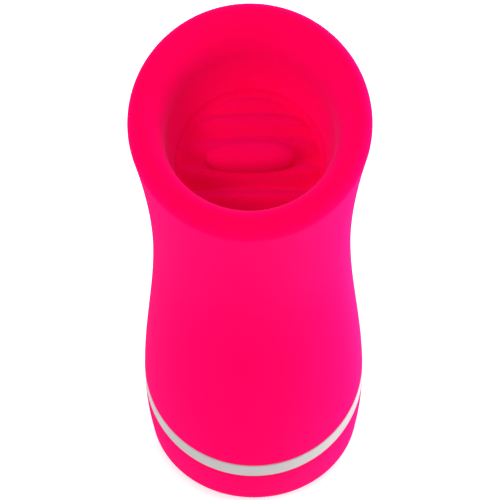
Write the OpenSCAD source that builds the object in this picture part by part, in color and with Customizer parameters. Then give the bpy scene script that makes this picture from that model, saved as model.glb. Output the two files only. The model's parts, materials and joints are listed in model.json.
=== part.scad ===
// Handheld massager with a slanted cup mouth and a swinging tongue.
// Built as it comes apart on a bench: silicone sleeve, trim ring, base cap, inner shells,
// tongue drive, cell, board and controls. +Z is up, -Y is the front, and the base stands on z = 0.

/* [Body] */
// Widest radius of the base
belly_r = 27.5; // [26.5:0.5:28.5]
// Height of the widest part of the base
belly_z = 20.5; // [19:0.5:24]
// How far the wall draws in from the belly down to the foot
foot_draw = 1.9; // [1:0.1:2.5]
// Rounding under the foot
foot_round = 6; // [4:0.5:6.5]
// Radius of the waist
waist_r = 23.1; // [23:0.1:24]
// Height of the waist
waist_z = 78; // [74:1:80]
// Widest radius of the head, where the lip starts to roll over
head_r = 26.9; // [26.5:0.1:28]
// How late the wall flares out between the waist and the head
flare = 1.85; // [1.6:0.05:2.2]

/* [Mouth] */
// Height of the lip's crest on the centreline
mouth_z = 118; // [117:1:120]
// Slant of the mouth, front edge low
mouth_tilt = 18; // [17:0.2:21]
// Radius of the roll on the outside of the lip
lip_roll = 2.9; // [2.5:0.1:4]
// Height of the roll on the inside of the lip
cup_roll = 8; // [6:0.5:10]
// Radius of the cup under its rolled lip
cup_r = 19; // [18.5:0.1:20]
// Radius of the cup where it meets the bellows
floor_r = 16.5; // [16:0.1:17]
// Height of the bellows flange on the centreline
floor_z = 100; // [99.6:0.1:100.4]

/* [Trim ring] */
// Height of the ring's lower edge on the centreline
band_z = 22.4; // [22:0.2:23]
// Height of the ring's visible face
band_h = 4.5; // [4:0.1:5]
// Slant of the ring, front edge low
band_tilt = 14.5; // [12:0.5:15]

/* [Drive] */
// Height from the tongue's pivot to the bellows flange, along the tongue
pivot_drop = 16; // [15.8:0.1:16.2]
// Distance from the pivot down to the crank's axle
crank_drop = 17; // [16.8:0.1:17.2]
// Throw of the crank pin
crank_throw = 3.5; // [3.3:0.1:3.6]
// Teeth on the crank gear
gear_teeth = 44; // [44]
// Teeth on the motor pinion
pinion_teeth = 14; // [14]
// Gear module
gear_module = 0.5; // [0.5]

/* [Power and controls] */
// Diameter of the rechargeable cell
cell_d = 18.2; // [16:0.2:18.4]
// Length of the rechargeable cell
cell_h = 35; // [33:0.5:35.5]
// Radius of each push button
button_r = 4.35; // [3.8:0.05:4.6]
// Distance between the buttons' centres
button_gap = 12.4; // [11.6:0.2:13]
// Height of the buttons
button_z = 19.5; // [18.5:0.5:20]
// Radius of the charging jack's bore
jack_r = 1.27; // [1.2:0.01:1.4]
// Height of the charging jack
jack_z = 9.5; // [9:0.5:10]

/* [Hidden] */
$fn = 64;

// Colours
pink = [1.0, 0.03, 0.36];
pale_grey = [0.78, 0.78, 0.77];
shell_white = [0.92, 0.92, 0.90];
frame_black = [0.10, 0.10, 0.11];
steel = [0.70, 0.71, 0.73];
brass = [0.80, 0.62, 0.30];
acetal = [0.93, 0.91, 0.84];
board_green = [0.06, 0.35, 0.18];

// Walls and gaps
skin = 2.6;          // silicone thickness over the shells
skin_gap = 0.15;     // between the silicone and the shells
shell_wall = 1.9;
cap_wall = 2.65;
big = 200;           // larger than the whole object

// Body outline, worked out from the driving sizes
lip_z = mouth_z - lip_roll;              // where the outside starts to roll over
crest_r = head_r - lip_roll;             // radius of the lip's crest
cap_r = belly_r - cap_wall;              // inner radius of the base cap
tube_r = waist_r - skin;                 // inner radius of the sleeve from the waist up
shell_r = tube_r - skin_gap;             // outer radius of the shells from the waist up
band_top = band_z + band_h;
slope = tan(mouth_tilt);
band_slope = tan(band_tilt);
slant_low = 53;                          // the mouth's slant fades in from here
slant_high = 100;                        // and is complete here
fade = 18;                               // the ring's slant fades out over this height

function smooth(t) = let (u = max(0, min(1, t))) u * u * (3 - 2 * u);

// Radius of the outside at height z
function body_r(z) =
    z < belly_z ? belly_r - foot_draw * pow((belly_z - z) / belly_z, 2)
    : z < waist_z ? waist_r + (belly_r - waist_r) * (1 + cos(180 * (z - belly_z) / (waist_z - belly_z))) / 2
    : waist_r + (head_r - waist_r) * pow((z - waist_z) / (lip_z - waist_z), flare);

// Radius inside the silicone at height z
function lining_r(z) = z < waist_z ? body_r(z) - skin : tube_r;

// ---------- helpers ----------

// Puts its children in the frame of the slanted mouth, with z = 0 at height h on the centreline
module slanted(h = floor_z) {
    translate([0, 0, h]) rotate([mouth_tilt, 0, 0]) children();
}

// Everything between two planes that slant by an angle, given by their heights on the centreline
module slant_slab(low, high, angle) {
    translate([0, 0, low]) rotate([angle, 0, 0])
        translate([-big / 2, -big / 2, 0]) cube([big, big, (high - low) * cos(angle)]);
}

// A tube with upright walls
module tube(r_out, r_in, h) {
    difference() {
        cylinder(r = r_out, h = h);
        translate([0, 0, -1]) cylinder(r = r_in, h = h + 2);
    }
}

// A cylinder along X or Y that starts at its origin
module rod_x(r, length) { rotate([0, 90, 0]) cylinder(r = r, h = length); }
module rod_y(r, length) { rotate([-90, 0, 0]) cylinder(r = r, h = length); }

// A block given by its lowest and highest corners
module block(low, high) { translate(low) cube(high - low); }

// A pan-head screw along +Z: the head's top is at z = 0 and the shank points down
module screw(head_r, head_h, shank_r, length) {
    translate([0, 0, -head_h]) difference() {
        cylinder(r = head_r, h = head_h);
        translate([0, 0, head_h - 0.5]) for (a = [0, 90]) rotate(a)
            translate([-head_r * 0.6, -0.2, 0]) cube([head_r * 1.2, 0.4, 1]);
    }
    translate([0, 0, -length]) cylinder(r = shank_r, h = length - head_h / 2);
}

// A wire swept along points, with 8 sides; no stretch of it may run along X
module wire(path, r) {
    n = len(path);
    sides = 8;
    function dir(i) = let (d = path[min(n - 1, i + 1)] - path[max(0, i - 1)]) d / norm(d);
    function across(d) = let (c = cross(d, [1, 0, 0])) c / norm(c);
    rings = [for (i = [0:n - 1]) let (d = dir(i), u = across(d), v = cross(d, u))
        for (k = [0:sides - 1]) path[i] + r * (u * cos(360 * k / sides) + v * sin(360 * k / sides))];
    walls = [for (i = [0:n - 2]) for (k = [0:sides - 1]) let (a = i * sides, b = a + sides, m = (k + 1) % sides)
        each [[a + k, b + k, b + m], [a + k, b + m, a + m]]];
    first = [[for (k = [0:sides - 1]) k]];
    last = [[for (k = [sides - 1:-1:0]) (n - 1) * sides + k]];
    polyhedron(points = rings, faces = concat(walls, first, last));
}

// Triangles of a closed ring whose outline has a number of rows, each with a number of sides
function ring_faces(rows, sides) = [for (i = [0:rows - 1]) for (k = [0:sides - 1]) let (
    a = i * sides, b = ((i + 1) % rows) * sides, m = (k + 1) % sides)
    each [[a + k, b + k, b + m], [a + k, b + m, a + m]]];

// ---------- outside ----------

// Closed outline of the sleeve in the r-z plane: outside, lip, cup, seat on the bellows, lining
function sleeve_outline() = concat(
    [for (i = [0:22]) let (z = band_top + (lip_z - band_top) * i / 22) [body_r(z), z]],
    [for (a = [18:18:90]) [crest_r + lip_roll * cos(a), lip_z + lip_roll * sin(a)]],
    [for (a = [12:13:90]) [crest_r - (crest_r - cup_r) * sin(a), mouth_z - cup_roll * (1 - cos(a))]],
    [[floor_r + 0.9, floor_z + 3.4], [floor_r, floor_z + 1], [tube_r, floor_z + 1]],
    [for (i = [0:3]) let (z = floor_z - 4 - (floor_z - 4 - waist_z) * i / 3) [tube_r, z]],
    [for (i = [1:9]) let (z = waist_z - (waist_z - band_top) * i / 9) [lining_r(z), z]]);

// A point of the sleeve: the mouth's slant shears the head, and the ring's slant shears the hem
function sleeve_point(r, z, a) = let (
    head = smooth((z - slant_low) / (slant_high - slant_low)),
    hem = 1 - smooth((z - band_top) / fade),
    y = r * sin(a),
    lift = y * (slope * head + band_slope * hem),
    r2 = r + (hem > 0 ? body_r(z + lift) - body_r(z) : 0)
) [r2 * cos(a), r2 * sin(a), z + lift];

module silicone_sleeve() {
    line = sleeve_outline();
    rows = len(line);
    sides = 64;
    points = [for (p = line) for (k = [0:sides - 1]) sleeve_point(p[0], p[1], 360 * k / sides)];
    color(pink) polyhedron(points = points, faces = ring_faces(rows, sides));
}

// Solid of the base's outside, from the foot up past the ring
module base_outside(grow = 0) {
    top = 40;
    z_round = foot_round;
    r_round = body_r(z_round);
    rotate_extrude() polygon(concat(
        [[0, 0], [r_round - foot_round + grow, 0]],
        [for (a = [-75:15:0]) [r_round - foot_round + grow + foot_round * cos(a), z_round + foot_round * sin(a)]],
        [for (z = [6.5:2.5:top]) [body_r(z) + grow, z]],
        [[0, top]]));
}

module trim_ring() {
    color(pale_grey) intersection() {
        difference() {
            base_outside();
            translate([0, 0, -1]) cylinder(r = cap_r + 0.1, h = big);
        }
        slant_slab(band_z, band_top, band_tilt);
    }
}

pad_r = 17;
pad_h = 1.4;
floor_top = 3.4;       // top of the base cap's floor
boss_top = 5;          // the cradle stands on the cap's bosses here
base_screw_r = 13;     // pitch radius of the base screws

module at_base_screws() {
    for (a = [30, 150, 270]) rotate(a) translate([base_screw_r, 0, 0]) children();
}

// Puts its children at each button's axis, which runs along +Y
module at_buttons(sides = [-1, 1]) {
    for (s = sides) translate([s * button_gap / 2, 0, button_z]) children();
}

pipe_r = 0.9;
port_r = 1.9;

module base_cap() {
    color(pink) difference() {
        union() {
            difference() {
                intersection() {
                    base_outside();
                    slant_slab(-big / 2, band_z, band_tilt);
                }
                translate([0, 0, floor_top]) cylinder(r = cap_r, h = big);
            }
            at_base_screws() translate([0, 0, floor_top - 0.1]) cylinder(r = 3, h = boss_top - floor_top + 0.1);
        }
        translate([0, 0, -1]) cylinder(r = pad_r, h = pad_h + 1);
        intersection() {
            translate([0, 0, floor_top]) cylinder(r = cap_r + 1.2, h = big);
            slant_slab(band_z - 0.8, band_z + 5, band_tilt);
        }
        at_base_screws() {
            translate([0, 0, 0.5]) cylinder(r = 2.1, h = 2.2);
            translate([0, 0, 0.5]) cylinder(r = 1.05, h = 6);
        }
        at_buttons() rod_y(button_r + 0.3, big);
        translate([0, 0, jack_z]) rod_y(port_r, big);
        translate([0, 0, button_z]) rod_y(pipe_r + 0.02, big);
    }
}

module foot_pad() {
    color(pink * 0.9) difference() {
        cylinder(r = pad_r - 0.05, h = pad_h);
        for (r = [6, 10, 14]) translate([0, 0, -0.6]) tube(r + 0.5, r - 0.5, 1);
    }
}

module base_gasket() {
    color(frame_black) intersection() {
        tube(cap_r + 1.15, cap_r + 0.05, 60);
        slant_slab(band_z - 0.8, band_z, band_tilt);
    }
}

// ---------- shells ----------

// Solid of the shells' outside, less its own inset
module shell_solid(inset = 0) {
    spigot_top = 34.5;
    rotate_extrude() polygon(concat(
        [[0, 10], [cap_r - 0.1 - inset, 10], [cap_r - 0.1 - inset, band_top - 1]],
        [for (z = [spigot_top:6:waist_z]) [min(cap_r - 0.1, lining_r(z) - skin_gap) - inset, z]],
        [[shell_r - inset, waist_z], [shell_r - inset, mouth_z], [0, mouth_z]]));
}

screw_places = [[18.4, 40], [15.6, 84]];   // [x, z] of the shell screws, mirrored to -x

module at_shell_screws() {
    for (p = screw_places) for (s = [-1, 1]) translate([s * p[0], 0, p[1]]) children();
}

// Both shells before they are split: a tube with screw bosses, cut parallel to the ring and the mouth
module shell_pair() {
    difference() {
        union() {
            difference() {
                shell_solid();
                shell_solid(shell_wall);
            }
            intersection() {
                shell_solid(0.4);
                at_shell_screws() translate([0, -25, 0]) rod_y(2.2, 50);
            }
        }
        slant_slab(-big / 2, band_z - 2.4, band_tilt);
        slant_slab(floor_z, floor_z + big / 2, mouth_tilt);
        at_shell_screws() {
            translate([0, -6, 0]) rod_y(0.9, 16);
            translate([0, 8, 0]) rod_y(1.85, 20);
        }
    }
}

module shell_front() {
    color(shell_white) intersection() {
        shell_pair();
        block([-big / 2, -big / 2, -1], [big / 2, 0, big]);
    }
}

module shell_rear() {
    color(shell_white) intersection() {
        shell_pair();
        block([-big / 2, 0, -1], [big / 2, big / 2, big]);
    }
}

module shell_screws() {
    color(steel) at_shell_screws() translate([0, 9.4, 0]) rotate([-90, 0, 0]) screw(1.75, 1.3, 0.88, 15);
}

// ---------- cup floor ----------

window_x = 8.6;        // half width of the opening that the tongue swings through
window_y = 4.8;
plate_t = 3;

module cup_plate() {
    color(shell_white) difference() {
        intersection() {
            cylinder(r = shell_r - shell_wall - 0.1, h = big);
            slanted() translate([-big / 2, -big / 2, -plate_t]) cube([big, big, plate_t]);
        }
        slanted() block([-window_x, -window_y, -9], [window_x, window_y, 9]);
        at_plate_screws() {
            translate([0, 0, -1.5]) cylinder(r = 1.9, h = 5);
            translate([0, 0, -9]) cylinder(r = 0.9, h = 9);
        }
    }
}

cheek_x = 9;           // inner face of the frame's cheeks
cheek_t = 1.8;

module at_plate_screws() {
    slanted() for (x = [-1, 1]) for (y = [-7.5, 7.5]) translate([x * (cheek_x + cheek_t / 2), y, 0]) children();
}

module cup_plate_screws() {
    color(steel) at_plate_screws() translate([0, 0, -0.3]) screw(1.8, 1.2, 0.65, 7);
}

fold_pitch = 5.8;      // measured along Y
fold_depth = 0.5;
crown = 3.2;           // rise of the domed sheet from its rim to its middle
sheet_t = 0.7;
sheet_r = floor_r - 0.2;
sheet_rim = 0.85;      // height of the sheet's rim, just below the flange's upper face
sheet_hole_r = 2.5;    // inside the tongue's own outline

// Height of the sheet's upper face above the slanted flange plane
function sheet_z(x, y) = let (q = 1 - (x * x + y * y) / (sheet_r * sheet_r))
    sheet_rim + crown * q + fold_depth * smooth(3 * q) * cos(360 * y / fold_pitch + 180);

function sheet_point(r, a, drop) = let (x = r * cos(a), y = r * sin(a))
    [x, y, floor_z + y * slope + sheet_z(x, y) - drop];

// The sheet is a ring of upper and lower points, and the flange is clamped under the sleeve's seat
module bellows() {
    steps = 15;
    sides = 72;
    function radius(i) = sheet_hole_r + (sheet_r - sheet_hole_r) * i / steps;
    upper = [for (i = [steps:-1:0]) for (k = [0:sides - 1]) sheet_point(radius(i), 360 * k / sides, 0)];
    lower = [for (i = [0:steps]) for (k = [0:sides - 1]) sheet_point(radius(i), 360 * k / sides, sheet_t)];
    color(pink) difference() {
        union() {
            polyhedron(points = concat(upper, lower), faces = ring_faces(2 * steps + 2, sides));
            difference() {
                intersection() {
                    cylinder(r = tube_r - 0.1, h = big);
                    slant_slab(floor_z, floor_z + 1, mouth_tilt);
                }
                cylinder(r = sheet_r - 1.5, h = big);
            }
        }
        slanted() tongue_outline(0, 9);
    }
}

// ---------- tongue drive ----------

pivot = [0, pivot_drop * sin(mouth_tilt), floor_z - pivot_drop * cos(mouth_tilt)];
crank = pivot - [0, 0, crank_drop];
mesh_distance = gear_module * (gear_teeth + pinion_teeth) / 2;
mesh_lean = asin(crank[1] / mesh_distance);          // leans the gears so that the motor sits on the centreline
motor = crank - mesh_distance * [0, sin(mesh_lean), cos(mesh_lean)];
pin_r = 1;             // pivot pin, axle and crank pin
running = 0.03;        // radial clearance of a running fit
gear_x = 4.6;          // inner face of the gears
gear_t = 2.6;
arm_x = 2;             // half width of the rocker's fork

// Involute spur gear outline: tooth 0 is centred on +x
function inv_angle(c) = tan(c) * 180 / PI - c;
module gear_outline(teeth, backlash = 0.12) {
    rp = gear_module * teeth / 2;
    rb = rp * cos(20);
    tip = rp + 0.8 * gear_module;
    root = rp - 1.1 * gear_module;
    start = max(rb, root + 0.05);
    half = 90 / teeth - backlash / 2 / rp * 180 / PI + inv_angle(20);
    flank = [for (i = [0:5]) let (r = start + (tip - start) * i / 5) [r, half - inv_angle(acos(rb / r))]];
    function at(r, a) = [r * cos(a), r * sin(a)];
    points = [for (k = [0:teeth - 1]) let (c = 360 * k / teeth) each concat(
        [at(root, c - flank[0][1] - 0.4)],
        [for (f = flank) at(f[0], c - f[1])],
        [for (i = [5:-1:0]) at(flank[i][0], c + flank[i][1])],
        [at(root, c + flank[0][1] + 0.4)])];
    polygon(points);
}

// A gear whose axle runs along X, with tooth 0 turned to an angle from +Y towards +Z
module gear(teeth, width, angle) {
    rotate([90, 0, 90]) rotate(angle) linear_extrude(width) gear_outline(teeth);
}

// Angle of the line from the crank's axle to the motor, from +Y towards +Z
mesh_angle = -90 - mesh_lean;

module crank_gear() {
    color(acetal) translate(crank) difference() {
        union() {
            translate([gear_x, 0, 0]) gear(gear_teeth, gear_t, mesh_angle);
            translate([gear_x + gear_t, 0, 0]) rod_x(3, 1.2);
        }
        rod_x(pin_r + running, 20);
        translate([0, 0, -crank_throw]) rod_x(pin_r, 20);
        for (a = [60, 180, 300]) rotate([a, 0, 0]) translate([0, 0, 7]) rod_x(1.6, 20);
    }
}

module crank_pin() {
    color(steel) translate(crank + [-2.9, 0, -crank_throw]) rod_x(pin_r, gear_x + gear_t + 2.9);
}

roller_r = 1.5;

module crank_roller() {
    color(brass) translate(crank + [-2.5, 0, -crank_throw]) difference() {
        rod_x(roller_r, 5);
        translate([-1, 0, 0]) rod_x(pin_r, 8);
    }
}

module gear_axle() {
    color(steel) translate(crank + [gear_x + 0.2, 0, 0]) rod_x(pin_r, cheek_x + cheek_t + 0.4 - gear_x);
}

module gear_clip() {
    color(steel) translate(crank + [cheek_x + cheek_t, 0, 0]) difference() {
        rod_x(2.1, 0.4);
        translate([-1, 0, 0]) rod_x(pin_r, 3);
        block([-1, -0.6, -3], [1, 0.6, 0]);
    }
}

hub_x = 3.4;           // half length of the rocker's hub
hub_r = 3.6;
bush_r = 1.8;
stem_x = 3;            // half width of the stem between the hub and the paddle
paddle_x = 7;          // half width of the rocker's paddle inside the boot
paddle_t = 2.4;
slot_half = roller_r + 0.35;
prong_t = 1.7;
slot_over = 0.2;       // the fork's slot reaches this far above the crank's axle
prong_end = crank_drop + crank_throw + 1.2;   // from the pivot

module rocker_arm() {
    color(acetal) difference() {
        union() {
            translate(pivot - [hub_x, 0, 0]) rod_x(hub_r, 2 * hub_x);
            translate(pivot) block([-arm_x, -slot_half - prong_t, -prong_end], [arm_x, slot_half + prong_t, 0]);
            slanted() {
                block([-stem_x, -paddle_t / 2, -pivot_drop], [stem_x, paddle_t / 2, -8]);
                block([-paddle_x, -paddle_t / 2, -9], [paddle_x, paddle_t / 2, 6.6]);
            }
        }
        translate(pivot) block([-9, -slot_half, -prong_end - 1], [9, slot_half, -crank_drop + slot_over]);
        translate(pivot - [9, 0, 0]) rod_x(bush_r, 18);
        slanted() for (x = [-4, 4]) translate([x, -3, 2.2]) rod_y(1.1, 6);
    }
}

module rocker_bushes() {
    color(brass) translate(pivot) for (s = [-1, 1]) translate([s * hub_x, 0, 0]) rotate([0, s * 90, 0])
        difference() {
            union() {
                translate([0, 0, -2.4]) cylinder(r = bush_r, h = 2.4);
                cylinder(r = 2.6, h = 0.6);
            }
            translate([0, 0, -3]) cylinder(r = pin_r + running, h = 5);
        }
}

module pivot_pin() {
    reach = cheek_x + cheek_t + 0.4;
    color(steel) translate(pivot - [reach, 0, 0]) rod_x(pin_r, 2 * reach);
}

module pivot_clips() {
    color(steel) translate(pivot) for (s = [0, 1]) mirror([s, 0, 0]) translate([cheek_x + cheek_t, 0, 0])
        difference() {
            rod_x(2.1, 0.35);
            translate([-1, 0, 0]) rod_x(pin_r, 3);
            block([-1, -0.6, -3], [1, 0.6, 0]);
        }
}

nub_x = 10;            // half width of the tongue
nub_y = 3.4;           // half thickness of the tongue
nub_low = 1;           // underside, shoulder and tip of the tongue above the bellows flange
nub_side = 5.4;
nub_top = 9;

// The tongue's rounded oblong section, between two heights in the mouth's slanted frame
module tongue_outline(low, high) {
    side = nub_x - nub_y;
    for (s = [-1, 1]) translate([s * side, 0, low]) cylinder(r = nub_y, h = high - low);
    block([-side, -nub_y, low], [side, nub_y, high]);
}

module tongue_boot() {
    side = nub_x - nub_y;
    color(pink) slanted() difference() {
        union() {
            tongue_outline(nub_low, nub_side);
            hull() {
                for (s = [-1, 1]) translate([s * side, 0, nub_side - 0.5]) cylinder(r = nub_y, h = 0.5, $fn = 48);
                for (s = [-1, 1]) translate([s * (side - 1.4), 0, nub_top - 2.1]) sphere(r = 2.1, $fn = 32);
                translate([0, 0, nub_top - 2.3]) sphere(r = 2.3, $fn = 32);
            }
        }
        block([-paddle_x, -paddle_t / 2, -1], [paddle_x, paddle_t / 2, 6.6]);
    }
}

// ---------- frame and motor ----------

web_y = -11;
web_t = 1.8;
frame_low = 45.2;
foot_x = 8;            // right end of the frame's foot
foot_t = 2;
motor_r = 8;
motor_face = 2;        // the motor's nose end, along X
motor_back = -16.5;
plate_x = motor_face + 0.1;
plate_w = 1.8;

module drive_frame() {
    color(frame_black) difference() {
        union() {
            difference() {
                for (s = [0, 1]) mirror([s, 0, 0])
                    block([cheek_x, web_y, 63.5], [cheek_x + cheek_t, 12, mouth_z]);
                slant_slab(floor_z - plate_t / cos(mouth_tilt), mouth_z + big / 2, mouth_tilt);
            }
            block([-cheek_x - cheek_t, web_y, 63.5], [cheek_x + cheek_t, web_y + web_t, 88]);
            block([-6, web_y, frame_low], [6, web_y + web_t, 66]);
            block([plate_x, web_y, frame_low], [plate_x + plate_w, 7, motor[2] + 5.5]);
            block([-6, web_y, frame_low], [foot_x, web_y + 6, frame_low + foot_t]);
            block([cheek_x, web_y, 58], [cheek_x + cheek_t, 12, 66]);
        }
        translate(pivot - [20, 0, 0]) rod_x(pin_r, 40);
        translate(crank) rod_x(pin_r, 40);
        translate(motor) rod_x(3.1, 20);
        at_motor_screws() translate([-1, 0, 0]) rod_x(0.95, 9);
        at_plate_screws() translate([0, 0, -9.2]) cylinder(r = 0.65, h = 9);
        at_frame_screws() translate([0, 0, -3]) cylinder(r = 0.98, h = 12);
    }
}

module at_frame_screws() {
    for (x = [-3.5, 6]) translate([x, web_y + 3.4, frame_low + foot_t]) children();
}

module frame_screws() {
    color(steel) at_frame_screws() translate([0, 0, 1]) screw(1.5, 1, 0.98, 4.8);
}

module at_motor_screws() {
    translate(motor + [plate_x, 0, 0]) for (s = [-1, 1]) translate([0, s * 5.2, 0]) children();
}

module motor_screws() {
    color(steel) at_motor_screws() translate([plate_w + 0.7, 0, 0]) rotate([0, 90, 0]) screw(1.5, 0.7, 0.8, 4.2);
}

module motor_can() {
    color(steel) difference() {
        translate(motor) {
            translate([motor_back + 2, 0, 0]) rod_x(motor_r, motor_face - motor_back - 2);
            translate([motor_face - 0.1, 0, 0]) rod_x(2.9, 1.6);
        }
        translate(motor + [motor_back, 0, 0]) rod_x(motor_r - 0.7, motor_face - motor_back - 2);
        translate(motor) rod_x(0.8, 20);
        at_motor_screws() translate([-3, 0, 0]) rod_x(0.8, 4);
    }
}

module motor_end_cap() {
    color(frame_black) difference() {
        translate(motor + [motor_back, 0, 0]) {
            rod_x(motor_r - 0.3, 2);
            translate([1.9, 0, 0]) rod_x(motor_r - 0.75, 1.6);
        }
        at_terminals() block([-1, -0.25, -1.1], [9, 0.25, 1.1]);
        translate(motor + [motor_back - 1, 0, 0]) rod_x(0.8, 9);
    }
}

// Puts its children where each terminal enters the motor's end cap
module at_terminals() {
    for (s = [-1, 1]) translate(motor + [motor_back, s * 5, 0]) children();
}

module motor_magnets() {
    color(frame_black) translate(motor + [-12.6, 0, 0]) rotate([0, 90, 0]) tube(motor_r - 0.75, 5.9, 11.6);
}

module motor_terminals() {
    color(brass) at_terminals() block([-0.8, -0.25, -1.1], [3.2, 0.25, 1.1]);
}

module motor_shaft() {
    color(steel) translate(motor + [motor_back + 0.4, 0, 0]) rod_x(0.75, 24.5);
}

module motor_armature() {
    color(brass) translate(motor + [-12, 0, 0]) difference() {
        rod_x(5.4, 10);
        translate([-1, 0, 0]) rod_x(0.75, 20);
        for (a = [0, 120, 240]) rotate([a, 0, 0]) block([-1, -0.7, 3], [20, 0.7, 9]);
    }
}

module motor_pinion() {
    color(brass) translate(motor + [gear_x, 0, 0]) difference() {
        gear(pinion_teeth, gear_t + 0.4, mesh_angle + 180 + 180 / pinion_teeth);
        translate([-1, 0, 0]) rod_x(0.75, 9);
    }
}

// ---------- cell, cradle and board ----------

cell_at = [0, -2, 7.2];
cradle_in = cell_d / 2 + 0.2;
cradle_out = cradle_in + 1.6;
cradle_top = frame_low;
board_y = 15.5;        // front face of the board
board_t = 1.2;
board_x = 12;
board_low = 5.5;
board_high = 28;
board_screw_places = [[-9.5, 8], [9.5, 8], [-9.5, 26], [9.5, 26]];

module at_board_screws() {
    for (p = board_screw_places) translate([p[0], board_y, p[1]]) children();
}

module battery_cradle() {
    color(frame_black) difference() {
        union() {
            translate([cell_at[0], cell_at[1], boss_top]) cylinder(r = cradle_out, h = cradle_top - boss_top);
            at_base_screws() translate([0, 0, boss_top]) cylinder(r = 2.8, h = 5);
            at_board_screws() translate([0, -board_y, 0]) rod_y(1.9, board_y);
            block([-6, web_y, cradle_top - 2], [foot_x, 0, cradle_top]);
        }
        translate(cell_at) cylinder(r = cradle_in, h = cell_h + 1);
        block([-7.5, -30, 12], [7.5, cell_at[1], cell_at[2] + cell_h + 1]);
        block([-5.1, -4.1, cell_at[2] - 0.2], [14, 0.1, cell_at[2] + 1.6]);
        block([-1.2, 2.5, cell_at[2] + cell_h + 0.4], [1.2, 12, cradle_top + 1]);
        at_base_screws() translate([0, 0, boss_top - 1]) cylinder(r = 0.9, h = 5.6);
        at_board_screws() translate([0, -5, 0]) rod_y(0.8, 6);
        at_frame_screws() translate([0, 0, -4]) cylinder(r = 0.98, h = 7);
    }
}

module battery_cell() {
    color(steel) translate(cell_at) {
        cylinder(r = cell_d / 2 - 0.3, h = cell_h - 1.2);
        translate([0, 0, cell_h - 1.3]) cylinder(r = 3, h = 1.3);
    }
}

module battery_wrap() {
    color([0.15, 0.35, 0.75]) translate(cell_at + [0, 0, 0.3]) tube(cell_d / 2 - 0.05, cell_d / 2 - 0.3, cell_h - 1.6);
}

module battery_contacts() {
    color(brass) {
        translate(cell_at) block([-2, -5, cell_h], [2, 7, cell_h + 0.4]);
        translate(cell_at) block([-5, -2, -0.2], [13, 2, 0]);
    }
}

module base_screws() {
    color(steel) at_base_screws() translate([0, 0, 1.5]) rotate([180, 0, 0]) screw(1.95, 1.1, 0.9, 7.8);
}

module main_board() {
    color(board_green) difference() {
        block([-board_x, board_y, board_low], [board_x, board_y + board_t, board_high]);
        at_board_screws() translate([0, -1, 0]) rod_y(1.1, 4);
    }
}

module board_screws() {
    color(steel) at_board_screws() translate([0, board_t + 1, 0]) rotate([-90, 0, 0]) screw(1.6, 1, 0.8, 5.8);
}

module controller_chip() {
    color(frame_black) block([-3, board_y - 1.4, 13], [3, board_y, 19]);
}

module board_parts() {
    color(brass) for (p = [[-6.5, 13], [-6.5, 16], [6.5, 13], [6.5, 16], [-5, 22.5], [5, 22.5]])
        block([p[0] - 0.8, board_y - 0.8, p[1] - 0.6], [p[0] + 0.8, board_y, p[1] + 0.6]);
}

board_back = board_y + board_t;
jack_mouth = cap_r - 0.25;
jack_depth = jack_mouth - board_back - 0.6;

module charge_jack() {
    color(frame_black) translate([0, 0, jack_z]) difference() {
        union() {
            block([-3.5, board_back, -3], [3.5, board_back + 6, 3]);
            translate([0, board_back, 0]) rod_y(2.6, jack_mouth - board_back);
        }
        translate([0, jack_mouth - jack_depth, 0]) rod_y(jack_r, big);
    }
}

module status_led() {
    color([0.95, 0.95, 0.85]) block([-0.8, board_back, button_z - 0.5], [0.8, board_back + 0.7, button_z + 0.5]);
}

module light_pipe() {
    color(pale_grey) intersection() {
        translate([0, board_back + 0.8, button_z]) rod_y(pipe_r, 20);
        base_outside();
    }
}

// ---------- buttons ----------

switch_h = 3.4;        // height of a switch body on the board
travel = 0.5;
flange_y = board_back + switch_h + 0.8;   // inner face of the button's flange
proud = 0.3;           // how far a button stands out of the cap

module switch_body() {
    difference() {
        block([-2.8, board_back, -2.8], [2.8, board_back + switch_h, 2.8]);
        translate([0, board_back + 0.3, 0]) rod_y(1.75, 9);
    }
}

module plunger() { translate([0, board_back + 0.3 + travel + 0.1, 0]) rod_y(1.6, flange_y - board_back - 0.4 - travel); }

module button_body(side) {
    at_buttons([side]) translate([0, flange_y, 0]) rod_y(5.0, 0.8);
    intersection() {
        at_buttons([side]) translate([0, flange_y + 0.7, 0]) rod_y(button_r, 20);
        base_outside(proud);
    }
}

module power_switch() { color(frame_black) at_buttons([-1]) switch_body(); }
module mode_switch() { color(frame_black) at_buttons([1]) switch_body(); }
module power_plunger() { color(shell_white) at_buttons([-1]) plunger(); }
module mode_plunger() { color(shell_white) at_buttons([1]) plunger(); }
module power_button() { color(pink * 0.85) button_body(-1); }
module mode_button() { color(pink * 0.85) button_body(1); }

// ---------- leads ----------

lead_r = 0.6;

module motor_lead_red() {
    color("red") wire([[-17.9, -5, 54.4], [-18.2, -5.1, 51], [-17.9, -3, 47.5], [-16.6, 1, 44.6], [-14.9, 4.6, 42.4], [-13.6, 7.4, 39],
        [-11.8, 10.5, 34.5], [-9, 13.2, 30.8], [-7.2, 14.6, 28.4], [-7, 14.8, 25]], lead_r);
}

module motor_lead_black() {
    color("black") wire([[-17.9, 5, 54.4], [-18.2, 5.4, 51], [-17.3, 7.5, 47], [-15.6, 10, 43], [-13, 12.6, 38.5],
        [-8.5, 14.8, 33.5], [-5, 15, 30.5], [-3.5, 14.8, 28], [-3.4, 14.8, 25]], lead_r);
}

module battery_lead_red() {
    color("red") wire([[0, 3.2, 43.25], [0, 7, 43.6], [0.2, 10.4, 43.2], [1, 13, 40], [2.6, 14.6, 35],
        [3.4, 14.8, 30], [3.4, 14.8, 25]], lead_r);
}

module battery_lead_black() {
    color("black") wire([[12.2, -2, 7.85], [12.9, -1.4, 9.6], [13.1, 1, 12.2], [12.6, 4.5, 14.8], [11, 9, 17.6],
        [9.2, 12.5, 20], [7.8, 14.4, 20.9], [7.2, 14.8, 18.6]], lead_r);
}

// ---------- nodes ----------

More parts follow.
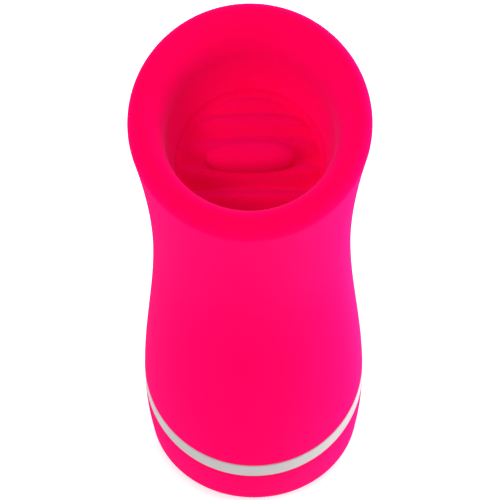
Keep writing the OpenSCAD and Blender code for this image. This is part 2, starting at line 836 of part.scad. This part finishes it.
silicone_sleeve();
trim_ring();
base_cap();
foot_pad();
base_gasket();
shell_front();
shell_rear();
shell_screws();
cup_plate();
cup_plate_screws();
bellows();
drive_frame();
frame_screws();
pivot_pin();
pivot_clips();
gear_axle();
gear_clip();
rocker_arm();
rocker_bushes();
tongue_boot();
crank_gear();
crank_pin();
crank_roller();
motor_can();
motor_magnets();
motor_end_cap();
motor_terminals();
motor_screws();
motor_shaft();
motor_armature();
motor_pinion();
battery_cradle();
battery_cell();
battery_wrap();
battery_contacts();
base_screws();
main_board();
board_screws();
controller_chip();
board_parts();
charge_jack();
status_led();
light_pipe();
power_switch();
power_plunger();
power_button();
mode_switch();
mode_plunger();
mode_button();
motor_lead_red();
motor_lead_black();
battery_lead_red();
battery_lead_black();
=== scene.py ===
"""Visual model of the hand-held cup massager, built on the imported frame.

The silicone skins, the trim ring and the buttons are remade here as smooth, closed meshes on the
CAD's outline. Everything inside keeps its CAD shape and gets a finished material.
"""

import json
import math

import bpy
import numpy as np
from mathutils import Matrix, Vector


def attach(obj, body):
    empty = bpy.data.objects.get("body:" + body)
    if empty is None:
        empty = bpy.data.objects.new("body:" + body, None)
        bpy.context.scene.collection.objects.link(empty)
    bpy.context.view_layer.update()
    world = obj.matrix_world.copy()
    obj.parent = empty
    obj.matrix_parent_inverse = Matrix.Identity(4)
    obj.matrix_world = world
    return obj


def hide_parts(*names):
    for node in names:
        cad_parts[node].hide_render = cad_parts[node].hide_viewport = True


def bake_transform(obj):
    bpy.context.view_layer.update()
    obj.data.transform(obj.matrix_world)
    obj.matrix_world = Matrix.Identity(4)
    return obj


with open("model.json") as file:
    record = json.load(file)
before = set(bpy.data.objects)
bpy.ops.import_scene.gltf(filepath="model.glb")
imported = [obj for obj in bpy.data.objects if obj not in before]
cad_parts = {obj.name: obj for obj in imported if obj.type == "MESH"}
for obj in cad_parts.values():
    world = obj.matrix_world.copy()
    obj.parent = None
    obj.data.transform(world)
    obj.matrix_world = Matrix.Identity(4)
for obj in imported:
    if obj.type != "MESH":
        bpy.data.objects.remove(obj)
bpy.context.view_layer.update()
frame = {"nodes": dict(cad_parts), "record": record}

MM = 0.001

# Body outline, in millimetres, as in the CAD
BELLY_R, BELLY_Z = 27.5, 20.5
FOOT_DRAW, FOOT_ROUND = 1.9, 6.0
WAIST_R, WAIST_Z = 23.1, 78.0
HEAD_R, FLARE = 26.9, 1.85
MOUTH_Z = 118.0
LIP_ROLL, CUP_ROLL = 2.9, 8.0  # the lip's rounding outside, and how deep it rolls into the cup
CUP_R, FLOOR_R, FLOOR_Z = 19.0, 16.5, 100.0
BAND_Z, BAND_H = 22.4, 4.5  # the trim ring
SKIN, CAP_WALL = 2.6, 2.65  # walls of the sleeve and of the base cap
MOUTH_TILT = math.radians(18.0)
MOUTH_SLOPE = math.tan(MOUTH_TILT)
BAND_SLOPE = math.tan(math.radians(14.5))
SLANT_LOW, SLANT_HIGH = 53.0, 100.0  # the mouth's slant grows between these heights
BAND_FADE = 18.0  # the ring's slant fades out this far above the ring

LIP_Z = MOUTH_Z - LIP_ROLL
CREST_R = HEAD_R - LIP_ROLL
BAND_TOP = BAND_Z + BAND_H
CAP_R = BELLY_R - CAP_WALL

SIDES = 256  # round the body


# ---------- outline ----------


def smooth(t):
    u = np.clip(t, 0, 1)
    return u * u * (3 - 2 * u)


def body_r(z):
    """Radius of the outside at height z."""
    z = np.asarray(z, float)
    foot = BELLY_R - FOOT_DRAW * ((BELLY_Z - z) / BELLY_Z) ** 2
    swing = np.clip((z - BELLY_Z) / (WAIST_Z - BELLY_Z), 0, 1)
    middle = WAIST_R + (BELLY_R - WAIST_R) * (1 + np.cos(np.pi * swing)) / 2
    head = WAIST_R + (HEAD_R - WAIST_R) * (np.maximum(z - WAIST_Z, 0) / (LIP_Z - WAIST_Z)) ** FLARE
    return np.where(z < BELLY_Z, foot, np.where(z < WAIST_Z, middle, head))


def revolve(outline, place=None, sides=SIDES):
    """Points of a closed ring: outline holds (r, z) rows, and place may move them."""
    r, z = (np.repeat(np.array(c, float)[:, None], sides, axis=1) for c in zip(*outline))
    a = np.linspace(0, 2 * np.pi, sides, endpoint=False)[None, :]
    if place is None:
        return np.stack([r * np.cos(a), r * np.sin(a), z], axis=-1)
    return place(r, z, a)


def ring_mesh(name, points, closed=True, capped=False):
    """A mesh from a grid of points, rows by sides, in millimetres. Sides wrap round.

    A closed grid joins its last row to its first. A capped one ends in a fan at both ends.
    """
    rows, sides = points.shape[:2]
    i = np.arange(rows if closed else rows - 1)[:, None]
    k = np.arange(sides)[None, :]
    a, b = i * sides, ((i + 1) % rows) * sides
    m = (k + 1) % sides
    quads = np.stack([a + k, b + k, b + m, a + m][::-1], axis=-1).reshape(-1, 4)
    verts, faces = points.reshape(-1, 3), quads.tolist()
    if capped:
        verts = np.concatenate([verts, [points[0].mean(axis=0), points[-1].mean(axis=0)]])
        end, last = rows * sides, (rows - 1) * sides
        for j in range(sides):
            n = (j + 1) % sides
            faces += [[n, end, j][::-1], [last + j, end + 1, last + n][::-1]]
    mesh = bpy.data.meshes.new(name)
    mesh.from_pydata((verts * MM).tolist(), [], faces)
    mesh.polygons.foreach_set("use_smooth", [True] * len(mesh.polygons))
    mesh.update()
    obj = bpy.data.objects.new(name, mesh)
    bpy.context.scene.collection.objects.link(obj)
    return obj


def arc(centre, radii, start, end, steps):
    """Points on an arc in the r-z plane, from angle start to end in degrees."""
    t = np.radians(np.linspace(start, end, steps))
    return [(centre[0] + radii[0] * math.cos(x), centre[1] + radii[1] * math.sin(x)) for x in t]


# ---------- materials ----------


def node_material(name):
    m = bpy.data.materials.new(name)
    m.use_nodes = True
    return m, m.node_tree.nodes, m.node_tree.links, m.node_tree.nodes["Principled BSDF"]


def noise(nodes, links, coords, scale, detail=3.0, rough=0.55):
    """A noise texture in object space; scale is in features per metre."""
    n = nodes.new("ShaderNodeTexNoise")
    n.inputs["Scale"].default_value = scale
    n.inputs["Detail"].default_value = detail
    n.inputs["Roughness"].default_value = rough
    links.new(coords.outputs["Object"], n.inputs["Vector"])
    return n


def spread(nodes, links, source, low, high, start=0.3, end=0.7):
    """Maps a noise's middle range to the range low to high."""
    m = nodes.new("ShaderNodeMapRange")
    m.inputs["From Min"].default_value = start
    m.inputs["From Max"].default_value = end
    m.inputs["To Min"].default_value = low
    m.inputs["To Max"].default_value = high
    links.new(source, m.inputs["Value"])
    return m.outputs["Result"]


def colour_mix(nodes, links, factor, first, second):
    m = nodes.new("ShaderNodeMix")
    m.data_type = "RGBA"
    m.inputs["A"].default_value = (*first, 1)
    m.inputs["B"].default_value = (*second, 1)
    links.new(factor, m.inputs["Factor"])
    return m.outputs["Result"]


def bump(nodes, links, bsdf, heights):
    """Chains bumps, each a (height output, distance in millimetres, strength)."""
    last = None
    for height, distance, strength in heights:
        b = nodes.new("ShaderNodeBump")
        b.inputs["Distance"].default_value = distance * MM
        b.inputs["Strength"].default_value = strength
        links.new(height, b.inputs["Height"])
        if last:
            links.new(last, b.inputs["Normal"])
        last = b.outputs["Normal"]
    links.new(last, bsdf.inputs["Normal"])


def silicone(name, colour, deep, edge=2.2, haze=0.06):
    """Moulded matte silicone: a little cloudy and finely grained, with a painted sheen that turns it
    more magenta at grazing angles.

    The painted sheen's blue at grazing angles is edge times the colour's own, and haze is the weight of
    the shader's sheen.
    """
    m, nodes, links, bsdf = node_material(name)
    coords = nodes.new("ShaderNodeTexCoord")
    cloud = noise(nodes, links, coords, 60, detail=2)
    grain = noise(nodes, links, coords, 5200, detail=2)
    ripple = noise(nodes, links, coords, 420, detail=3)
    body = colour_mix(nodes, links, spread(nodes, links, cloud.outputs["Fac"], 0, 1), colour, deep)
    # painted sheen: where the surface is seen at a grazing angle, the colour's blue grows towards edge
    # times its own
    facing = nodes.new("ShaderNodeLayerWeight")
    facing.inputs["Blend"].default_value = 0.35
    painted_sheen = nodes.new("ShaderNodeMix")
    painted_sheen.data_type = "RGBA"
    painted_sheen.inputs["B"].default_value = (colour[0], colour[1], colour[2] * edge, 1)
    links.new(facing.outputs["Facing"], painted_sheen.inputs["Factor"])
    links.new(body, painted_sheen.inputs["A"])
    links.new(painted_sheen.outputs["Result"], bsdf.inputs["Base Color"])
    links.new(spread(nodes, links, ripple.outputs["Fac"], 0.46, 0.58), bsdf.inputs["Roughness"])
    heights = [(grain.outputs["Fac"], 0.03, 0.25), (ripple.outputs["Fac"], 0.04, 0.12)]
    bump(nodes, links, bsdf, heights)
    bsdf.inputs["IOR"].default_value = 1.41
    bsdf.inputs["Specular IOR Level"].default_value = 0.0
    bsdf.inputs["Sheen Weight"].default_value = haze
    bsdf.inputs["Sheen Roughness"].default_value = 0.40
    bsdf.inputs["Sheen Tint"].default_value = (1.0, 0.45, 1.0, 1)
    return m


def plastic(name, colour, rough=0.42, grain=0.25):
    """Moulded plastic with a fine spark-eroded grain."""
    m, nodes, links, bsdf = node_material(name)
    coords = nodes.new("ShaderNodeTexCoord")
    fine = noise(nodes, links, coords, 3800, detail=2)
    patch = noise(nodes, links, coords, 150, detail=3)
    shade = tuple(c * 0.93 for c in colour)
    body = colour_mix(nodes, links, spread(nodes, links, patch.outputs["Fac"], 0, 1), colour, shade)
    polish = spread(nodes, links, patch.outputs["Fac"], rough - 0.05, rough + 0.07)
    links.new(body, bsdf.inputs["Base Color"])
    links.new(polish, bsdf.inputs["Roughness"])
    bump(nodes, links, bsdf, [(fine.outputs["Fac"], 0.02, grain)])
    return m


def metal(name, colour, rough=0.3, stretch=(1, 1, 14)):
    """Drawn or turned metal: the noise is stretched into fine marks."""
    m, nodes, links, bsdf = node_material(name)
    coords = nodes.new("ShaderNodeTexCoord")
    mapping = nodes.new("ShaderNodeMapping")
    mapping.inputs["Scale"].default_value = stretch
    links.new(coords.outputs["Object"], mapping.inputs["Vector"])
    marks = nodes.new("ShaderNodeTexNoise")
    marks.inputs["Scale"].default_value = 900
    links.new(mapping.outputs["Vector"], marks.inputs["Vector"])
    stain = noise(nodes, links, coords, 240, detail=4)
    dull = tuple(c * 0.8 for c in colour)
    body = colour_mix(nodes, links, spread(nodes, links, stain.outputs["Fac"], 0, 1), colour, dull)
    polish = spread(nodes, links, marks.outputs["Fac"], rough - 0.08, rough + 0.12)
    links.new(body, bsdf.inputs["Base Color"])
    links.new(polish, bsdf.inputs["Roughness"])
    bump(nodes, links, bsdf, [(marks.outputs["Fac"], 0.01, 0.3)])
    bsdf.inputs["Metallic"].default_value = 1.0
    return m


PINK, PINK_DEEP = (0.86, 0.0006, 0.072), (0.84, 0.0004, 0.066)
# the floor's pinks are the skin's silicone made darker: painted shade for the floor deep in the cup
FLOOR_PINK_SHADED, FLOOR_DEEP_SHADED = (0.77, 0.0005, 0.060), (0.73, 0.0004, 0.054)
BUTTON_PINK, BUTTON_DEEP = (0.72, 0.0008, 0.050), (0.69, 0.0005, 0.045)

skin_material = silicone("silicone_skin", PINK, PINK_DEEP)
# painted shade: the floor and the tongue take the darker floor pinks
shaded_floor_material = silicone("silicone_floor", FLOOR_PINK_SHADED, FLOOR_DEEP_SHADED, haze=0.01)
button_material = silicone("silicone_button", BUTTON_PINK, BUTTON_DEEP)
trim_material = plastic("trim_grey", (0.40, 0.40, 0.40), rough=0.45)

slot_materials = {
    "foot_rubber": silicone("foot_rubber", (0.55, 0.002, 0.05), (0.50, 0.001, 0.04)),
    "gasket_rubber": plastic("gasket_rubber", (0.012, 0.012, 0.013), rough=0.7),
    "shell_plastic": plastic("shell_plastic", (0.80, 0.80, 0.78)),
    "frame_plastic": plastic("frame_plastic", (0.018, 0.018, 0.020)),
    "screw_steel": metal("screw_steel", (0.62, 0.62, 0.64)),
    "pin_steel": metal("pin_steel", (0.68, 0.69, 0.71), rough=0.22, stretch=(14, 1, 1)),
    "bearing_brass": metal("bearing_brass", (0.72, 0.50, 0.20)),
    "contact_brass": metal("contact_brass", (0.75, 0.55, 0.25), rough=0.35),
    "acetal": plastic("acetal", (0.85, 0.82, 0.72), rough=0.35),
    "motor_steel": metal("motor_steel", (0.55, 0.56, 0.58), stretch=(1, 14, 14)),
    "magnet": metal("magnet", (0.06, 0.06, 0.065), rough=0.6),
    "armature": metal("armature", (0.60, 0.28, 0.14), rough=0.4),
    "cell_steel": metal("cell_steel", (0.62, 0.63, 0.65)),
    "wrap": plastic("wrap", (0.02, 0.10, 0.50), rough=0.2),
    "board": plastic("board", (0.01, 0.12, 0.045), rough=0.3),
    "chip": plastic("chip", (0.012, 0.012, 0.014), rough=0.5),
    "board_parts": plastic("board_parts", (0.45, 0.30, 0.16), rough=0.45),
    "led": plastic("led", (0.88, 0.88, 0.75), rough=0.15),
    "light_pipe": plastic("light_pipe", (0.62, 0.62, 0.60), rough=0.25),
    "switch": plastic("switch", (0.02, 0.02, 0.022)),
    "plunger": plastic("plunger", (0.78, 0.78, 0.75)),
    "lead_red": plastic("lead_red", (0.55, 0.01, 0.01), rough=0.5),
    "lead_black": plastic("lead_black", (0.01, 0.01, 0.01), rough=0.5),
    "silicone": skin_material,
    "silicone_base": skin_material,
    "silicone_floor": shaded_floor_material,
    "silicone_tongue": shaded_floor_material,
    "button": button_material,
    "trim": trim_material,
}

for part in frame["record"]["subparts"]:
    node = frame["nodes"][part["node"]]
    node.data.materials.clear()
    node.data.materials.append(slot_materials[part["material_slot"]])


def finish_piece(obj, material, slot, body, *nodes):
    """Gives a piece its material, hides the CAD nodes that it replaces, and attaches it to its body; a
    piece that bends between two bodies gets none. The slot is not used.
    """
    obj.data.materials.append(material)
    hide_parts(*nodes)
    if body:
        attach(obj, body)


# ---------- sleeve ----------

HEM_EDGE = 0.5  # rounding of the sleeve's lower edge
SEAM = 0.08  # gap between the sleeve, the trim ring and the base
WALL_Z = FLOOR_Z + 0.9  # where the cup's wall ends, just above the flange
WALL_POWER = 1.6  # the wall narrows mostly near the floor


def sheared(r, z, a):
    """The mouth's slant shears the head, and the trim ring's slant shears the hem."""
    head = smooth((z - SLANT_LOW) / (SLANT_HIGH - SLANT_LOW))
    hem = 1 - smooth((z - BAND_TOP) / BAND_FADE)
    y = r * np.sin(a)
    lift = y * (MOUTH_SLOPE * head + BAND_SLOPE * hem)
    r = r + np.where(hem > 0, body_r(z + lift) - body_r(z), 0)
    return np.stack([r * np.cos(a), r * np.sin(a), z + lift], axis=-1)


def make_sleeve():
    low = BAND_TOP + SEAM
    edge = (float(body_r(low)) - HEM_EDGE, low + HEM_EDGE)
    outline = arc(edge, (HEM_EDGE, HEM_EDGE), -90, -10, 6)
    outline += [(float(body_r(z)), z) for z in np.linspace(low + HEM_EDGE, LIP_Z, 150)]
    outline += arc((CREST_R, LIP_Z), (LIP_ROLL, LIP_ROLL), 4, 90, 22)
    outline += [
        (CREST_R - (CREST_R - CUP_R) * math.sin(t), MOUTH_Z - CUP_ROLL * (1 - math.cos(t)))
        for t in np.radians(np.linspace(3, 90, 26))
    ]
    wall_top = MOUTH_Z - CUP_ROLL
    outline += [
        (CUP_R + (FLOOR_R - CUP_R) * t**WALL_POWER, wall_top + (WALL_Z - wall_top) * t)
        for t in np.linspace(0.06, 1, 16)
    ]
    outline += [(WAIST_R - SKIN, WALL_Z)]
    outline += [
        (float(min(body_r(z), body_r(min(z, WAIST_Z)))) - SKIN, z)
        for z in np.linspace(FLOOR_Z - 4, low, 24)
    ]
    obj = ring_mesh("sleeve_skin", revolve(outline, sheared))
    finish_piece(obj, skin_material, "silicone", "housing", "silicone_sleeve")


make_sleeve()

# ---------- floor and tongue ----------

FOLD_PITCH, FOLD_DEPTH = 6.1, 0.75
FOLD_SOFT = 0.03  # rounds the valleys between the folds
SHEET_RIM, CROWN = 0.85, 3.2  # height of the sheet's rim, and the rise from there to its middle
SHEET_T = 0.7
COVE, COVE_W = 0.6, 1.5  # the sheet curls up to the cup's wall, by this much over this width
RIM_TUCK = 0.8  # the sheet's rim is this far inside the wall
TROUGH, TROUGH_W, TROUGH_GAP = 1.2, 1.8, 2.4  # the hollow in front of the tongue
TONGUE_X, TONGUE_Y = 10.0, 3.55  # half sizes of the tongue
TONGUE_TOP = 9.0  # above the flange plane
TONGUE_POWER = 2.35  # squareness of the tongue's outline
TONGUE_TIP = 0.42  # the crowned tip covers this share of the outline
TONGUE_CROWN, TONGUE_SHOULDER = 0.30, 3.4  # how far the tip, then the shoulder, fall
TONGUE_FOOT = 0.92  # the tongue's foot is this share of its full outline
FILLET = 0.5  # where the tongue meets the sheet


def tongue_outline(sides):
    t = np.linspace(0, 2 * np.pi, sides, endpoint=False)
    p = 2 / TONGUE_POWER
    x = TONGUE_X * np.sign(np.cos(t)) * np.abs(np.cos(t)) ** p
    s = TONGUE_Y * np.sign(np.sin(t)) * np.abs(np.sin(t)) ** p
    return x, s, t


def sheet_height(x, s):
    """Height of the floor sheet above the flange plane, where s runs up the slant."""
    square = x * x + (s * math.cos(MOUTH_TILT)) ** 2
    q = 1 - square / (FLOOR_R - 0.2) ** 2
    crown = CROWN * np.maximum(q, -0.1)
    wave = 2 * np.sqrt(np.sin(np.pi * s / FOLD_PITCH) ** 2 + FOLD_SOFT) - 1
    folds = FOLD_DEPTH * smooth(3 * q) * wave
    cove = COVE * np.clip((np.sqrt(square) - FLOOR_R + COVE_W) / COVE_W, 0, 1.6) ** 3
    away = (s + TONGUE_Y + TROUGH_GAP) / TROUGH_W
    trough = TROUGH * np.exp(-(away**2)) * smooth(2.2 * q)
    return SHEET_RIM + crown + folds + cove - trough


def make_floor():
    """The pleated floor and the tongue are one skin, built in the slanted frame of the cup's floor.

    It runs from the tongue's tip over its shoulder and down its side, out over the sheet to the rim,
    and back underneath.
    """
    x0, s0, t = tongue_outline(SIDES)
    rim_x = (FLOOR_R + RIM_TUCK) * np.cos(t)
    rim_s = (FLOOR_R + RIM_TUCK) * np.sin(t) / math.cos(MOUTH_TILT)
    rows = []

    def add(x, s, h, upright=0.0):
        """Adds a row at height h, square to the slant, or straight up where upright is 1."""
        y = s * math.cos(MOUTH_TILT) - h * math.sin(MOUTH_TILT) * (1 - upright)
        z = FLOOR_Z + y * MOUTH_SLOPE + h / math.cos(MOUTH_TILT)
        rows.append(np.stack([x, y, z + np.zeros_like(x)], axis=-1))

    for f in np.linspace(0.04, TONGUE_TIP, 10):
        add(x0 * f, s0 * f, TONGUE_TOP - TONGUE_CROWN * (f / TONGUE_TIP) ** 2)
    shoulder = TONGUE_TOP - TONGUE_CROWN
    for a in np.radians(np.linspace(6, 90, 16)):
        f = TONGUE_TIP + (1 - TONGUE_TIP) * math.sin(a)
        add(x0 * f, s0 * f, shoulder - TONGUE_SHOULDER * (1 - math.cos(a)))
    top = shoulder - TONGUE_SHOULDER
    foot_x, foot_s = x0 * TONGUE_FOOT, s0 * TONGUE_FOOT
    foot = sheet_height(foot_x, foot_s) + FILLET
    for f in np.linspace(0.1, 1, 12):
        grow = 1 - (1 - TONGUE_FOOT) * float(smooth(f))
        add(x0 * grow, s0 * grow, top + (foot - top) * f)
    for f in np.linspace(0, 1, 64)[1:]:
        x, s = foot_x + (rim_x - foot_x) * f, foot_s + (rim_s - foot_s) * f
        add(x, s, sheet_height(x, s) + FILLET * math.exp(-13 * f), float(smooth(f)))
    for f in np.linspace(1, 0.02, 22):
        under = sheet_height(rim_x * f, rim_s * f) - SHEET_T
        add(rim_x * f, rim_s * f, under, float(smooth(1.6 * f - 0.6)))
    obj = ring_mesh("floor_and_tongue", np.array(rows), closed=False, capped=True)
    finish_piece(obj, shaded_floor_material, "silicone_floor", None, "bellows", "tongue_boot")
    return obj


skin = make_floor()
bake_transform(skin)

# ---------- base ----------

EDGE = 0.35  # small rounding of moulded edges
FOLLOW_Z = 8.0  # above this height the base follows the trim ring's slant
PAD_R, PAD_CEILING = 17.0, 1.4  # recess for the foot pad
INSIDE_Z = 3.4  # floor of the base cap's inside


def slanted_to_ring(r, z, a):
    """Shears what is near the trim ring, so that its edges follow the ring's slant."""
    follow = smooth((z - FOLLOW_Z) / (BAND_Z - 0.5 - FOLLOW_Z))
    lift = r * np.sin(a) * BAND_SLOPE * follow
    outside = r > CAP_R + 0.5
    r = r + np.where(outside, body_r(z + lift) - body_r(z), 0)
    return np.stack([r * np.cos(a), r * np.sin(a), z + lift], axis=-1)


def make_base():
    foot_r = float(body_r(FOOT_ROUND)) - FOOT_ROUND
    top = BAND_Z - SEAM
    outline = [(PAD_R, PAD_CEILING), (PAD_R, 0.4), (PAD_R + 0.2, 0.12), (PAD_R + 0.5, 0.0)]
    outline += [(r, 0.0) for r in np.linspace(PAD_R + 1, foot_r - 0.3, 4)]
    outline += arc((foot_r, FOOT_ROUND), (FOOT_ROUND, FOOT_ROUND), -88, -2, 22)
    outline += [(float(body_r(z)), z) for z in np.linspace(FOOT_ROUND, top - EDGE, 44)]
    outline += arc((float(body_r(top)) - EDGE, top - EDGE), (EDGE, EDGE), 15, 90, 6)
    outline += [(CAP_R, top), (CAP_R, 12.0), (CAP_R, INSIDE_Z), (PAD_R, INSIDE_Z)]
    return ring_mesh("base_skin", revolve(outline, slanted_to_ring))


BUTTON_X, BUTTON_Z, BUTTON_R = 6.2, 19.5, 4.35
BUTTON_GAP = 0.28  # round each button
PIPE_R = 0.92  # hole for the status light
JACK_Z, JACK_R = 9.5, 1.9  # hole in front of the charging jack


def cut(obj, radius, x, z, sides=96):
    """Cuts a round hole through the back wall, along Y."""
    t = np.linspace(0, 2 * np.pi, sides, endpoint=False)
    across, up = x + radius * np.cos(t), z + radius * np.sin(t)
    ends = [np.stack([across, np.full(sides, y), up], axis=-1) for y in (18, 34)]
    cutter = ring_mesh("cutter", np.array(ends), closed=False)
    mesh = cutter.data
    caps = [list(range(sides)), list(range(sides, 2 * sides))[::-1]]
    verts = [v.co.copy() for v in mesh.vertices]
    faces = [list(p.vertices) for p in mesh.polygons] + caps
    mesh.clear_geometry()
    mesh.from_pydata(verts, [], faces)
    mesh.update()
    m = obj.modifiers.new("hole", "BOOLEAN")
    m.operation, m.solver, m.object = "DIFFERENCE", "EXACT", cutter
    bpy.context.view_layer.update()
    whole = obj.evaluated_get(bpy.context.evaluated_depsgraph_get())
    done = bpy.data.meshes.new_from_object(whole)
    obj.modifiers.clear()
    obj.data = done
    bpy.data.objects.remove(cutter)


base = make_base()
for side in (-1, 1):
    cut(base, BUTTON_R + BUTTON_GAP, side * BUTTON_X, BUTTON_Z)
cut(base, JACK_R, 0, JACK_Z)
cut(base, PIPE_R, 0, BUTTON_Z)
finish_piece(base, skin_material, "silicone_base", "housing", "base_cap")


def make_ring():
    low, high, edge = BAND_Z + SEAM, BAND_TOP - SEAM, 0.2
    outline = arc((float(body_r(low)) - edge, low + edge), (edge, edge), -90, -8, 5)
    outline += [(float(body_r(z)), z) for z in np.linspace(low + edge, high - edge, 12)]
    outline += arc((float(body_r(high)) - edge, high - edge), (edge, edge), 8, 90, 5)
    outline += [(CAP_R + 0.1, high), (CAP_R + 0.1, low)]
    obj = ring_mesh("trim_band", revolve(outline, slanted_to_ring))
    finish_piece(obj, trim_material, "trim", "housing", "trim_ring")


make_ring()


def make_button(name, x0, body, node):
    """A soft push button that follows the base's curve, with a shallow dish for the finger."""
    sides, proud, dish, edge, back = 96, 0.3, 0.16, 0.45, 22.0
    t = np.linspace(0, 2 * np.pi, sides, endpoint=False)
    rows = []

    def add(rho, out, y=None):
        """Adds a ring of radius rho, out from the base's skin or flat at y."""
        x, z = x0 + rho * np.cos(t), BUTTON_Z + rho * np.sin(t)
        skin_y = np.sqrt(body_r(z) ** 2 - x * x) + out if y is None else np.full(sides, y)
        rows.append(np.stack([x, skin_y, z], axis=-1))

    for f in np.linspace(0.05, 1, 18):
        add((BUTTON_R - edge) * f, proud - dish * (1 - f**2) ** 2)
    for a in np.radians(np.linspace(10, 90, 8)):
        add(BUTTON_R - edge + edge * math.sin(a), proud - edge * (1 - math.cos(a)))
    add(BUTTON_R, 0, back)
    add(BUTTON_R * 0.5, 0, back)
    obj = ring_mesh(name, np.array(rows)[:, ::-1], closed=False, capped=True)
    finish_piece(obj, button_material, "button", body, node)


make_button("power_pad", -BUTTON_X, "power_button", "power_button")
make_button("mode_pad", BUTTON_X, "mode_button", "mode_button")

# ---------- studio ----------

AIM_Z = MOUTH_Z / 2 * MM
DISTANCE = 0.5
ELEVATION = math.radians(51.68)
PITCH, YAW, ROLL = (math.radians(a) for a in (0.834, 0.052, -0.884))  # small turns from the aim


def make_camera():
    data = bpy.data.cameras.new("camera")
    data.lens, data.sensor_width = 150.07, 36.0
    data.clip_start, data.clip_end = 0.01, 20
    cam = bpy.data.objects.new("camera", data)
    bpy.context.scene.collection.objects.link(cam)
    aim = Vector((0, 0, AIM_Z))
    place = aim + DISTANCE * Vector((0, -math.cos(ELEVATION), math.sin(ELEVATION)))
    look = (aim - place).to_track_quat("-Z", "Y").to_matrix().to_4x4()
    turn = Matrix.Rotation(YAW, 4, "Y") @ Matrix.Rotation(PITCH, 4, "X") @ Matrix.Rotation(ROLL, 4, "Z")
    cam.matrix_world = Matrix.Translation(place) @ look @ turn
    bpy.context.scene.camera = cam


make_camera()


def area_light(name, place, aim, size, power):
    """A soft box at a place, in metres, turned towards the aim."""
    data = bpy.data.lights.new(name, "AREA")
    data.shape, data.size, data.size_y = "RECTANGLE", size[0], size[1]
    data.energy = power
    obj = bpy.data.objects.new(name, data)
    bpy.context.scene.collection.objects.link(obj)
    place, aim = Vector(place), Vector(aim)
    look = (aim - place).to_track_quat("-Z", "Y").to_matrix().to_4x4()
    obj.matrix_world = Matrix.Translation(place) @ look


CENTRE = (0, 0, 0.07)  # what the lights are turned towards
LIGHTS = [  # name, place, size and power in watts
    ("key_left", (-0.45, -0.50, 0.60), (0.30, 0.30), 2.5),
    ("top", (0.05, -0.20, 0.85), (0.35, 0.35), 1.8),
    ("back_low", (0.20, 0.65, 0.26), (0.60, 0.30), 6.5),
    ("strip_right", (0.65, 0.05, 0.13), (0.45, 0.24), 3.9),
]
for name, place, size, power in LIGHTS:
    area_light(name, place, CENTRE, size, power)


def make_floor_plane():
    """A plain white table, lit from within a little, so that it stays white near the object."""
    mesh = bpy.data.meshes.new("studio_floor")
    h = 4.0  # half its width
    mesh.from_pydata([(-h, -h, 0), (h, -h, 0), (h, h, 0), (-h, h, 0)], [], [(0, 1, 2, 3)])
    obj = bpy.data.objects.new("studio_floor", mesh)
    bpy.context.scene.collection.objects.link(obj)
    m, nodes, links, bsdf = node_material("studio_floor")
    bsdf.inputs["Base Color"].default_value = (0.70, 0.70, 0.70, 1)
    bsdf.inputs["Roughness"].default_value = 0.9
    bsdf.inputs["Emission Color"].default_value = (1, 1, 1, 1)
    bsdf.inputs["Emission Strength"].default_value = 0.5
    obj.data.materials.append(m)


make_floor_plane()

world = bpy.data.worlds.new("studio")
world.use_nodes = True
background = world.node_tree.nodes["Background"]
background.inputs["Color"].default_value = (1, 1, 1, 1)
background.inputs["Strength"].default_value = 0.62
bpy.context.scene.world = world
bpy.context.scene.view_settings.view_transform = "Standard"
